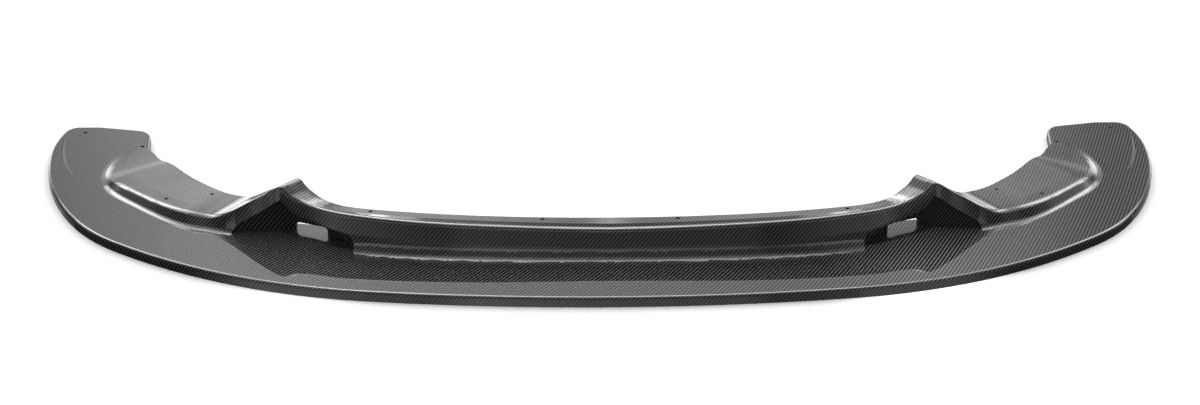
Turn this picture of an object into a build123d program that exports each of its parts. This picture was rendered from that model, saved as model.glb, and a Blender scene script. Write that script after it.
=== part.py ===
from build123d import *
from math import hypot
import os

os.makedirs("parts", exist_ok=True)

# Overall sizes in millimetres, with y measured back from the middle of the front edge
width = 1796
depth = 546
laminate = 3
edge_height = 16
edge_radius = 5

# Plan of the blade: where the arcs of its front edge meet, and its ends
bow_x = 369
bow_y = 21.5
shoulder_in = 138
shoulder_y = 171
cheek_in = 71
cheek_y = 238
end_length = 82
end_taper = 9
end_corner = 26
inner_corner = 24
corner_in = 153
corner_back = 16
throat_in = 159
throat_back = 82

# Upright wall in the middle and the mounting flange on top of it
blade_reach = 120
wall_height = 47
wall_run = 9
wall_toe = 22
foot_round = 15
rim_round = 4.5
rim_land = 7
flange_depth = 28
step_rise = 2.6
turn_x = 375

# Peaked duct hoods: the peak, the tip of the fin behind it and the mouth below
peak_x = 503
peak_y = 194
peak_height = 96
fin_x = 473
fin_y = 216
fin_height = 100
mouth_inner = 390
mouth_outer = 581
mouth_lip = 19.5
exit_height = 13
exit_round = 6
tongue = 30

# Wings behind a low riser
heel_x = 612
heel_y = 218
bend_in = 121
bend_y = 341
wing_height = 18.5
riser_run = 13
riser_toe = 10
riser_round = 3.5

# Crescent crease near each end, and the fixing holes
crease_bow = 6.5
crease_width = 5.5
crease_depth = 1.5
hole_diameter = 6.5
inner_hole_x = 103
outer_hole_x = 364

half = width / 2
wall_z = edge_height + wall_height
wing_z = edge_height + wing_height


def smooth(u):
    return u * u * (3 - 2 * u)


# A point between two others, with its own share of the way in each direction
def between(a, b, *shares):
    return tuple(p + (q - p) * s for p, q, s in zip(a, b, shares))


def mix(a, b, u):
    return between(a, b, u, u, u)


# Key stations of the sheet: top of its wall or riser, then its rear edge
middle = ((0, blade_reach, wall_z), (0, blade_reach + flange_depth, wall_z + 4.5))
quarter = ((150, blade_reach + 3, wall_z + 3), (150, blade_reach + flange_depth + 3.5, wall_z + 5))
outer = ((300, blade_reach + 13.5, wall_z + 7), (300, blade_reach + flange_depth + 14, wall_z + 7.5))
turn = ((turn_x, blade_reach + 25, wall_z + 10), (turn_x - 3, blade_reach + flange_depth + 25, wall_z + 8))
peak = ((peak_x, peak_y, peak_height), (fin_x, fin_y, fin_height))
heel = ((heel_x, heel_y, wing_z), (heel_x - 42, heel_y + 66, wing_z - 3.7))
bend = ((half - bend_in, bend_y, wing_z - 6.5), (half - bend_in - 77, bend_y + 66, wing_z - 11.5))
tip = ((half - 142, depth - 30, edge_height - 0.5), (half - 163, depth - 28, edge_height - 0.5))


# Stations on the way from one key station to the next
def rise(u):
    front = between(turn[0], peak[0], u, u**1.5, 0.3 * u + 0.7 * u**6)
    return front, between(turn[1], peak[1], u, 0.5 * u + 0.5 * u**4, u**3)


def leg(u):
    front = between(peak[0], heel[0], u, u**1.8, 0.5 * u + 0.5 * smooth(u))
    return front, between(peak[1], heel[1], u, u, 1.09 * u)


def sweep_back(u):
    return between(heel[0], bend[0], u, u**1.5, u**1.5), between(heel[1], bend[1], u, u**1.4, u)


def tail_back(u):
    fade = 1 - (1 - u) ** 2.4
    x, y, z = between(bend[0], tip[0], u, u, fade)
    bulge = 1.1 * bend_in * u * (1 - u) ** 2
    rear = between(bend[1], tip[1], 1 - (1 - u) ** 3, u**1.15, fade)
    return (x + bulge, y, z), rear


# Each station of the right half with the run, toe and foot rounding of its wall, and its share of the step
full = (wall_run, wall_toe, foot_round)
low = (riser_run, riser_toe, riser_round)
half_span = [(quarter, full, 1), (outer, full, 0.7), (turn, full, 0.2)]
half_span += [(rise(u), full, 0) for u in (0.4, 0.67, 0.83, 0.93)]
half_span += [(peak, full, 0)]
half_span += [(leg(u), mix(full, low, smooth(u)), 0) for u in (0.21, 0.43, 0.66, 0.84)]
half_span += [(heel, low, 0)]
half_span += [(sweep_back(u), low, 0) for u in (0.17, 0.47, 0.77)]
half_span += [(bend, low, 0)]
half_span += [(tail_back(u), low, 0) for u in (0.15, 0.3, 0.45, 0.6, 0.8)]
half_span += [(tip, (8, riser_toe, riser_round), 0)]


def mirrored(station):
    return tuple((-p[0], *p[1:]) for p in station)


left_span = [(mirrored(s), sizes, share) for s, sizes, share in reversed(half_span)]
span = left_span + [(middle, full, 1)] + half_span


# Upright plane through two points of the plan, with its local x from the first to the second
def section_plane(front, rear):
    reach = hypot(rear[0] - front[0], rear[1] - front[1])
    along = ((rear[0] - front[0]) / reach, (rear[1] - front[1]) / reach)
    return Plane((front[0], front[1], 0), (along[0], along[1], 0), (along[1], -along[0], 0))


# Corner and end of the laminate's underside, and a point at some length from a corner
def under_corner(a, b, c):
    before = (Vector(b) - Vector(a)).normalized()
    after = (Vector(c) - Vector(b)).normalized()
    down = Vector(before.Y, -before.X) + Vector(after.Y, -after.X)
    return Vector(b) + down * (laminate / (1 + before.dot(after)))


def under_end(a, b, at):
    way = (Vector(b) - Vector(a)).normalized()
    return Vector(at) + Vector(way.Y, -way.X) * laminate


def toward(a, b, length):
    return Vector(a) + (Vector(b) - Vector(a)).normalized() * length


# One section of the laminate: toe on the blade, rounded foot, wall, rounded rim, land, small step, flange
def laminate_section(front, rear, run, toe, foot, share):
    reach = hypot(rear[0] - front[0], rear[1] - front[1])
    slope = (1 - share) * (rear[2] - front[2]) / reach
    toe_end = (-run - toe, edge_height - 0.6)
    root = (-run, edge_height + min(0.9, 0.3 * (front[2] - edge_height)))
    rim = (0, front[2])
    land = (rim_land, front[2] + rim_land * slope)
    back = (reach, rear[2])
    ramp = between(land, back, 0.2, 0.2)
    ramp = (ramp[0], ramp[1] + step_rise * share + 0.2)
    low_toe = (-run - toe, edge_height - laminate + 0.3)
    low_root = under_corner(toe_end, root, rim)
    low_rim = under_corner(root, rim, land)
    low_back = under_end(land, back, back)
    low_wall = toward(low_root, low_rim, 0.6 * foot)
    low_foot = toward(low_root, low_toe, 0.6 * foot)
    with BuildSketch(section_plane(front, rear)) as sheet:
        with BuildLine():
            start = Line(toe_end, toward(root, toe_end, foot))
            curve = Bezier(start @ 1, root, toward(root, rim, foot))
            wall = Line(curve @ 1, toward(rim, root, rim_round))
            bead = Bezier(wall @ 1, rim, toward(rim, land, rim_round))
            Polyline(bead @ 1, land, ramp, back, low_back, low_rim, low_wall, low_foot, low_toe, toe_end)
        make_face()
    return sheet.sketch


# Solid section below the middle of the laminate, which trims the wall under it
def filling_section(front, rear, run):
    reach = hypot(rear[0] - front[0], rear[1] - front[1])
    skin = laminate / 2
    with BuildSketch(section_plane(front, rear)) as fill:
        with BuildLine():
            Polyline((skin - run, 0), (skin, front[2] - skin), (reach, rear[2] - skin), (reach, 0), close=True)
        make_face()
    return fill.sketch


# Where the flat blade ends under the toe of the wall
def blade_end(front, rear, run, toe):
    reach = hypot(rear[0] - front[0], rear[1] - front[1])
    share = -(run + 0.5 * toe) / reach
    return between(front[:2], rear[:2], share, share)


inner_line = [blade_end(*s, *sizes[:2]) for s, sizes, share in [(middle, full, 1)] + half_span[:-2]]
rear_corner = (half - corner_in, depth - corner_back)
throat = (half - throat_in, depth - throat_back)
side_end = between(rear_corner, throat, 2, 2)
wing_edge = tail_back(0.1)[1][:2]

# Blade with its turned-down edge, open behind the wall
with BuildPart() as blade:
    with BuildSketch() as outline:
        with BuildLine():
            nose = TangentArc((0, 0), (bow_x, bow_y), tangent=(1, 0))
            shoulder = TangentArc(nose @ 1, (half - shoulder_in, shoulder_y), tangent=nose % 1)
            cheek = TangentArc(shoulder @ 1, (half - cheek_in, cheek_y), tangent=shoulder % 1)
            flank = TangentArc(cheek @ 1, (half, depth - end_length), tangent=cheek % 1)
            taper = TangentArc(flank @ 1, (half - end_taper, depth - end_corner), tangent=flank % 1)
            corner = taper @ 1 + taper % 1 * (end_corner / (taper % 1).Y)
            tail = FilletPolyline(
                taper @ 1,
                corner,
                (half - 70, depth),
                rear_corner,
                side_end,
                radius=[end_corner, 60, inner_corner],
            )
            mirror(about=Plane.YZ)
            Line(side_end, (-side_end[0], side_end[1]))
        make_face()
    extrude(amount=edge_height)
    fillet(faces().sort_by(Axis.Z)[-1].edges(), edge_radius)
    with BuildSketch():
        offset(outline.sketch, amount=-laminate)
    extrude(amount=edge_height - laminate, mode=Mode.SUBTRACT)
    with BuildSketch():
        with BuildLine():
            Polyline(*inner_line, throat, (wing_edge[0], throat[1]), (0, throat[1]))
            mirror(about=Plane.YZ)
        make_face()
    extrude(amount=edge_height + 1, mode=Mode.SUBTRACT)

# Sheet of the wall, hoods and wings: its right half, open at the duct mouth and trimmed at the end, then mirrored
with BuildPart() as upper:
    loft([laminate_section(*s, *sizes, share) for s, sizes, share in span])
    split(bisect_by=Plane.YZ)
    with BuildSketch(Plane.XZ.offset(-peak_y - 18)):
        with BuildLine():
            mouth = FilletPolyline(
                (mouth_inner, -10),
                (mouth_inner, edge_height + 24),
                (peak_x - 31, peak_height - mouth_lip - 19.5),
                (peak_x - 14, peak_height - mouth_lip - 13.5),
                (peak_x, peak_height - mouth_lip),
                (mouth_outer - 6, edge_height + 12),
                (mouth_outer, edge_height),
                (mouth_outer, -10),
                radius=[16, 20, 8, 4, 12, 6],
            )
            Line(mouth @ 1, mouth @ 0)
        make_face()
    extrude(amount=peak_y - 42, mode=Mode.SUBTRACT)
    with BuildSketch():
        with BuildLine():
            Polyline(
                wing_edge,
                throat,
                (throat[0] + 2 * edge_radius, throat[1] + 2 * edge_radius),
                (throat[0] + 2 * edge_radius, depth),
                (wing_edge[0] - 60, depth),
                (wing_edge[0] - 60, wing_edge[1]),
                close=True,
            )
        make_face()
    extrude(amount=wing_z, mode=Mode.SUBTRACT)
    mirror(about=Plane.YZ)

# Wall round the right duct under the hood, with its low exit
exit_inner = (mouth_inner + 37, peak_y - 8)
exit_outer = (peak_x - 16, peak_y + 15.5)
with BuildPart() as duct:
    with BuildSketch():
        with BuildLine():
            FilletPolyline(
                (mouth_inner - 3, blade_reach + 23),
                (mouth_inner + 12, blade_reach + 48),
                exit_inner,
                exit_outer,
                (mouth_outer + 9, peak_y + 6.5),
                radius=[40, exit_round, exit_round],
            )
            offset(amount=laminate, side=Side.LEFT)
        make_face()
    extrude(amount=peak_height)
    with BuildSketch(section_plane(exit_inner, exit_outer)):
        exit_width = hypot(exit_outer[0] - exit_inner[0], exit_outer[1] - exit_inner[1]) - 2 * exit_round
        with Locations((exit_round + exit_width / 2, edge_height)):
            RectangleRounded(exit_width, 2 * exit_height, exit_round)
    extrude(amount=2 * laminate, both=True, mode=Mode.SUBTRACT)
    loft([filling_section(*s, sizes[0]) for s, sizes, share in half_span[1:]], ruled=True, mode=Mode.INTERSECT)


# Point of the plan at some distance inside an arc of the outline
def inset_point(arc, at, inset):
    way = arc % at
    point = arc @ at + Vector(-way.Y, way.X) * inset
    return point.X, point.Y


# Crescent crease: an arc's lens whose floor sinks outboard, as a cone round the inner arc
with BuildPart() as crease:
    with BuildSketch(Plane.XY.offset(edge_height - crease_depth)):
        with BuildLine():
            crease_ends = (inset_point(flank, 0.6, 39), inset_point(taper, 0.83, 11))
            inside = SagittaArc(*crease_ends, -crease_bow)
            SagittaArc(*crease_ends, -crease_bow - crease_width)
        make_face()
    extrude(amount=2 * crease_depth)
    with Locations((inside.arc_center.X, inside.arc_center.Y, edge_height)):
        Cone(
            inside.radius + crease_width,
            inside.radius,
            crease_depth,
            align=(Align.CENTER, Align.CENTER, Align.MAX),
            mode=Mode.SUBTRACT,
        )

# Fixing holes of the right half
holes = [
    (inner_hole_x, blade_reach + 24),
    (outer_hole_x, blade_reach + 44),
    mix(*sweep_back(0.3), 0.8)[:2],
    mix(*sweep_back(0.53), 0.17)[:2],
    mix(*tail_back(0.72), 0.5)[:2],
    (half - 47, depth - 22),
]

# The whole lip as one piece, with the floor of each duct run on behind the blade
with BuildPart() as lip:
    add(blade.part)
    with BuildSketch(Plane.XY.offset(edge_height - laminate)):
        with BuildLine():
            Polyline(
                (mouth_outer + 9, peak_y + 9),
                (mouth_outer + 9, peak_y - 34),
                (mouth_inner - 4, blade_reach - 8),
                (mouth_inner - 4, blade_reach + 30),
                (exit_inner[0] + 4, exit_inner[1] + 3),
                (exit_inner[0] + 8, exit_inner[1] + tongue),
                (exit_outer[0] - 2, exit_outer[1] + tongue / 2),
                (exit_outer[0] - 2, exit_outer[1] + 2),
                close=True,
            )
        make_face()
        mirror(about=Plane.YZ)
    extrude(amount=laminate)
    add(upper.part)
    add(duct.part)
    mirror(duct.part, about=Plane.YZ)
    add(crease.part, mode=Mode.SUBTRACT)
    mirror(crease.part, about=Plane.YZ, mode=Mode.SUBTRACT)
    with Locations(*holes, *mirrored(holes)):
        Hole(hole_diameter / 2)

# Origin below the middle of the whole lip
lip.part.label = "splitter_lip"
export_step(Pos(0, -depth / 2, 0) * lip.part, "parts/splitter_lip.step")
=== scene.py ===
"""Carbon-fibre front splitter lip in a white studio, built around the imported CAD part."""

import math

import bpy
from mathutils import Matrix, Vector

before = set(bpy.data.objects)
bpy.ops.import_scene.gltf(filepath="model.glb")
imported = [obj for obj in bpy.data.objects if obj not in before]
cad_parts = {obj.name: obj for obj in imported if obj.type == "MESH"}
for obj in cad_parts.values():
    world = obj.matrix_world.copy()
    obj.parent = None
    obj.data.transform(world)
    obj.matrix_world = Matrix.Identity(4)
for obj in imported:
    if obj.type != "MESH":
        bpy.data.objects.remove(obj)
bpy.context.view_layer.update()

# Photograph's camera: place in metres, focal length in pixels of the photograph, sensor in millimetres
PHOTO_WIDTH = 1200
FOCAL_PIXELS = 2515.5
SENSOR_WIDTH = 36.0
CAMERA_PLACE = Vector((-0.1482, -3.4235, 2.0))
CAMERA_RIGHT = Vector((0.9994, -0.0332, 0.012))
CAMERA_UP = Vector((0.0062, 0.5001, 0.8659))

# Cloth of the laminate, in metres, laid around a bow of its own radius from the front edge
TOW_WIDTH = 0.0019
TOW_RELIEF = 0.35 * TOW_WIDTH
TOWS_PER_REPEAT = 4
CLOTH_RADIUS = 4.0
FRONT_EDGE = -0.273
CLOTH_TURN = math.radians(9.5)

# Look of the cloth and of the clear coat over it
LINE_FADE_START = 0.2
LINE_FADE_END = 0.34
BUMP_STRENGTH = 0.3
# The dark tone is the cloth's own black; the lighter tone is a painted sheen, the glint of the tows that
# lie on top
DARK_TOW = (0.004, 0.004, 0.0041, 1)
SHEEN_PAINTED_TOW = (0.07, 0.07, 0.0715, 1)
CLOTH_METALLIC = 0.15
CLOTH_ROUGHNESS = 0.42
COAT_ROUGHNESS = 0.03
COAT_IOR = 1.5

# Floor, just below the part
FLOOR_REACH = 8.0
FLOOR_HEIGHT = -0.0005
FLOOR_TONE = (0.97, 0.97, 0.97, 1)
FLOOR_ROUGHNESS = 0.9
FLOOR_GLOSS = 0.1

# Light that the coat reflects, by turn about X: 0 front, 0.25 below, 0.5 rear, 0.75 overhead, 1 front
GROUND = [(0.0, 0.015), (0.03, 0.015), (0.06, 0.05), (0.11, 0.05), (0.14, 0.015)]
BACKDROP_LOW = [(0.45, 0.015), (0.49, 0.22), (0.525, 0.2), (0.541, 0.09)]
BACKDROP_HIGH = [(0.562, 0.075), (0.5925, 0.07), (0.598, 0.17), (0.61, 0.34)]
SOFT_BOX = [(0.625, 0.3), (0.64, 0.7), (0.665, 0.7), (0.685, 0.32)]
OVERHEAD = [(0.725, 0.26), (0.745, 0.1), (0.78, 0.08), (0.81, 0.04)]
FRONT = [(0.85, 0.015), (0.96, 0.015), (0.967, 0.07), (1.0, 0.07)]
REFLECTED_STRENGTH = 25.0

# Share of that light by side: left at 0, middle at 0.5, right at 1
FAR_LEFT = [(0.0, 0.08), (0.12, 0.08), (0.17, 0.6), (0.21, 1.0), (0.28, 1.0)]
NEAR_LEFT = [(0.34, 0.8), (0.41, 0.55), (0.44, 1.1), (0.5, 0.8)]
NEAR_RIGHT = [(0.56, 0.66), (0.6, 0.6), (0.615, 0.26), (0.64, 0.32)]
FAR_RIGHT = [(0.69, 0.75), (0.72, 0.75), (0.82, 0.7), (0.88, 0.2), (1.0, 0.1)]

# Soft fill for matt surfaces, and the white that the camera sees
FILL_ABOVE = 1.2
FILL_FROM_REAR = 1.0
FILL_BELOW = 0.03
WHITE = 1.08

# A spot over each duct floor: name, side and power in watts, then its cone, size, place and aim in metres
SPOTS = (("left_spot", -1, 80.0), ("right_spot", 1, 220.0))
SPOT_ANGLE = math.radians(8.0)
SPOT_RADIUS = 0.08
SPOT_OUT = 0.47
SPOT_BACK = -0.3
SPOT_HEIGHT = 1.8
SPOT_AIM_BACK = -0.185
SPOT_AIM_HEIGHT = 0.016


def add_node(tree, kind, **values):
    node = tree.nodes.new(kind)
    for name, value in values.items():
        setattr(node, name, value)
    return node


def feed(tree, socket, value):
    if isinstance(value, bpy.types.NodeSocket):
        tree.links.new(value, socket)
    else:
        socket.default_value = value


def math_node(tree, operation, *inputs):
    node = add_node(tree, "ShaderNodeMath", operation=operation)
    for socket, value in zip(node.inputs, inputs):
        feed(tree, socket, value)
    return node.outputs[0]


def mix_node(tree, factor, at_zero, at_one):
    node = add_node(tree, "ShaderNodeMix")
    feed(tree, node.inputs[0], factor)
    feed(tree, node.inputs[2], at_zero)
    feed(tree, node.inputs[3], at_one)
    return node.outputs[0]


def colour_mix_node(tree, factor, at_zero, at_one):
    node = add_node(tree, "ShaderNodeMix", data_type="RGBA")
    feed(tree, node.inputs[0], factor)
    feed(tree, node.inputs[6], at_zero)
    feed(tree, node.inputs[7], at_one)
    return node.outputs[2]


def split_node(tree, vector):
    node = add_node(tree, "ShaderNodeSeparateXYZ")
    tree.links.new(vector, node.inputs[0])
    return node.outputs


def ramp_node(tree, factor, stops):
    node = add_node(tree, "ShaderNodeValToRGB")
    elements = node.color_ramp.elements
    while len(elements) > 1:
        elements.remove(elements[-1])
    elements[0].position = stops[0][0]
    elements[0].color = (*(stops[0][1],) * 3, 1)
    for place, value in stops[1:]:
        element = elements.new(place)
        element.color = (*(value,) * 3, 1)
    tree.links.new(factor, node.inputs[0])
    return node.outputs[0]


def add_object(name, data):
    item = bpy.data.objects.new(name, data)
    bpy.context.scene.collection.objects.link(item)
    return item


# Count of tows in both directions of the cloth, which follows the bow and runs on up the walls
def tow_counts(tree):
    x, y, z = split_node(tree, add_node(tree, "ShaderNodeTexCoord").outputs["Object"])
    back = math_node(tree, "SUBTRACT", FRONT_EDGE + CLOTH_RADIUS, y)
    angle = math_node(tree, "ARCTAN2", x, back)
    along = math_node(tree, "MULTIPLY", angle, CLOTH_RADIUS)
    x_square = math_node(tree, "POWER", x, 2.0)
    back_square = math_node(tree, "POWER", back, 2.0)
    distance = math_node(tree, "SQRT", math_node(tree, "ADD", x_square, back_square))
    inward = math_node(tree, "SUBTRACT", CLOTH_RADIUS, distance)
    across = math_node(tree, "ADD", inward, z)
    cos = math.cos(CLOTH_TURN) / TOW_WIDTH
    sin = math.sin(CLOTH_TURN) / TOW_WIDTH
    warp = math_node(tree, "MULTIPLY_ADD", along, cos, math_node(tree, "MULTIPLY", across, sin))
    weft = math_node(tree, "MULTIPLY_ADD", across, cos, math_node(tree, "MULTIPLY", along, -sin))
    return warp, weft


def carbon_material():
    material = bpy.data.materials.new("carbon_laminate")
    material.use_nodes = True
    tree = material.node_tree
    shader = tree.nodes["Principled BSDF"]
    warp, weft = tow_counts(tree)
    # Two over, two under: the tows on top run together into slanting lines
    steps = math_node(tree, "SUBTRACT", warp, weft)
    repeats = math_node(tree, "MULTIPLY", steps, 1 / TOWS_PER_REPEAT)
    slant = math_node(tree, "PINGPONG", repeats, 0.5)
    lines = add_node(tree, "ShaderNodeMapRange", interpolation_type="SMOOTHSTEP")
    lines.inputs["From Min"].default_value = LINE_FADE_START
    lines.inputs["From Max"].default_value = LINE_FADE_END
    tree.links.new(slant, lines.inputs["Value"])
    on_top = lines.outputs[0]
    # Ridged tows under a clear coat that stays smooth
    warp_height = math_node(tree, "PINGPONG", warp, 0.5)
    weft_height = math_node(tree, "PINGPONG", weft, 0.5)
    bump = add_node(tree, "ShaderNodeBump")
    bump.inputs["Strength"].default_value = BUMP_STRENGTH
    bump.inputs["Distance"].default_value = TOW_RELIEF
    tree.links.new(mix_node(tree, on_top, weft_height, warp_height), bump.inputs["Height"])
    tree.links.new(bump.outputs[0], shader.inputs["Normal"])
    # Tows on top get the lighter tone: a painted sheen standing in for the glint of the fibres
    tree.links.new(colour_mix_node(tree, on_top, DARK_TOW, SHEEN_PAINTED_TOW), shader.inputs["Base Color"])
    shader.inputs["Metallic"].default_value = CLOTH_METALLIC
    shader.inputs["Roughness"].default_value = CLOTH_ROUGHNESS
    shader.inputs["Specular IOR Level"].default_value = 0.0
    shader.inputs["Coat Weight"].default_value = 1.0
    shader.inputs["Coat Roughness"].default_value = COAT_ROUGHNESS
    shader.inputs["Coat IOR"].default_value = COAT_IOR
    return material


def floor_material():
    material = bpy.data.materials.new("studio_floor")
    material.use_nodes = True
    shader = material.node_tree.nodes["Principled BSDF"]
    shader.inputs["Base Color"].default_value = FLOOR_TONE
    shader.inputs["Roughness"].default_value = FLOOR_ROUGHNESS
    shader.inputs["Specular IOR Level"].default_value = FLOOR_GLOSS
    return material


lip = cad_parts["splitter_lip"]
carbon = carbon_material()
for slot in lip.material_slots:
    slot.material = carbon

# Floor, kept out of the part's reflections
mesh = bpy.data.meshes.new("floor")
corners = [(-1, -1), (1, -1), (1, 1), (-1, 1)]
mesh.from_pydata([(x * FLOOR_REACH, y * FLOOR_REACH, 0) for x, y in corners], [], [(0, 1, 2, 3)])
floor = add_object("floor", mesh)
floor.location.z = FLOOR_HEIGHT
mesh.materials.append(floor_material())
floor.visible_glossy = False
floor.visible_diffuse = False

# Studio: white for the camera, soft fill for matt surfaces, backdrop and soft box for reflections
world = bpy.data.worlds.new("studio")
bpy.context.scene.world = world
world.use_nodes = True
tree = world.node_tree
background = tree.nodes["Background"]
side, rear, up = split_node(tree, add_node(tree, "ShaderNodeTexCoord").outputs["Generated"])
turn = math_node(tree, "MULTIPLY_ADD", math_node(tree, "ARCTAN2", up, rear), 0.5 / math.pi, 0.5)
glow = ramp_node(tree, turn, GROUND + BACKDROP_LOW + BACKDROP_HIGH + SOFT_BOX + OVERHEAD + FRONT)
spread = math_node(tree, "MULTIPLY_ADD", side, 0.5, 0.5)
lean = ramp_node(tree, spread, FAR_LEFT + NEAR_LEFT + NEAR_RIGHT + FAR_RIGHT)
studio = math_node(tree, "MULTIPLY", math_node(tree, "MULTIPLY", glow, REFLECTED_STRENGTH), lean)
above = math_node(tree, "GREATER_THAN", up, 0.0)
upper_fill = math_node(tree, "MULTIPLY_ADD", rear, FILL_FROM_REAR, FILL_ABOVE)
fill = math_node(tree, "MULTIPLY_ADD", above, upper_fill, FILL_BELOW)
ray = add_node(tree, "ShaderNodeLightPath").outputs
seen = mix_node(tree, ray["Is Camera Ray"], fill, WHITE)
level = mix_node(tree, ray["Is Glossy Ray"], seen, studio)
tree.links.new(level, background.inputs["Strength"])
background.inputs["Color"].default_value = (1, 1, 1, 1)

# Soft spots that pick out the weave on the duct floors
for name, across, energy in SPOTS:
    lamp = bpy.data.lights.new(name, "SPOT")
    lamp.energy = energy
    lamp.spot_size = SPOT_ANGLE
    lamp.spot_blend = 1.0
    lamp.shadow_soft_size = SPOT_RADIUS
    spot = add_object(name, lamp)
    spot.visible_glossy = False
    spot.location = Vector((across * SPOT_OUT, SPOT_BACK, SPOT_HEIGHT))
    aim = Vector((across * SPOT_OUT, SPOT_AIM_BACK, SPOT_AIM_HEIGHT))
    spot.rotation_euler = (aim - spot.location).to_track_quat("-Z", "Y").to_euler()

# Camera
camera_data = bpy.data.cameras.new("camera")
camera_data.sensor_width = SENSOR_WIDTH
camera_data.lens = SENSOR_WIDTH * FOCAL_PIXELS / PHOTO_WIDTH
camera = add_object("camera", camera_data)
right_way = CAMERA_RIGHT.normalized()
ahead = CAMERA_UP.cross(right_way).normalized()
up_way = right_way.cross(ahead).normalized()
turned = Matrix((right_way, up_way, -ahead)).transposed()
camera.matrix_world = Matrix.Translation(CAMERA_PLACE) @ turned.to_4x4()
bpy.context.scene.camera = camera
bpy.context.scene.view_settings.view_transform = "Standard"
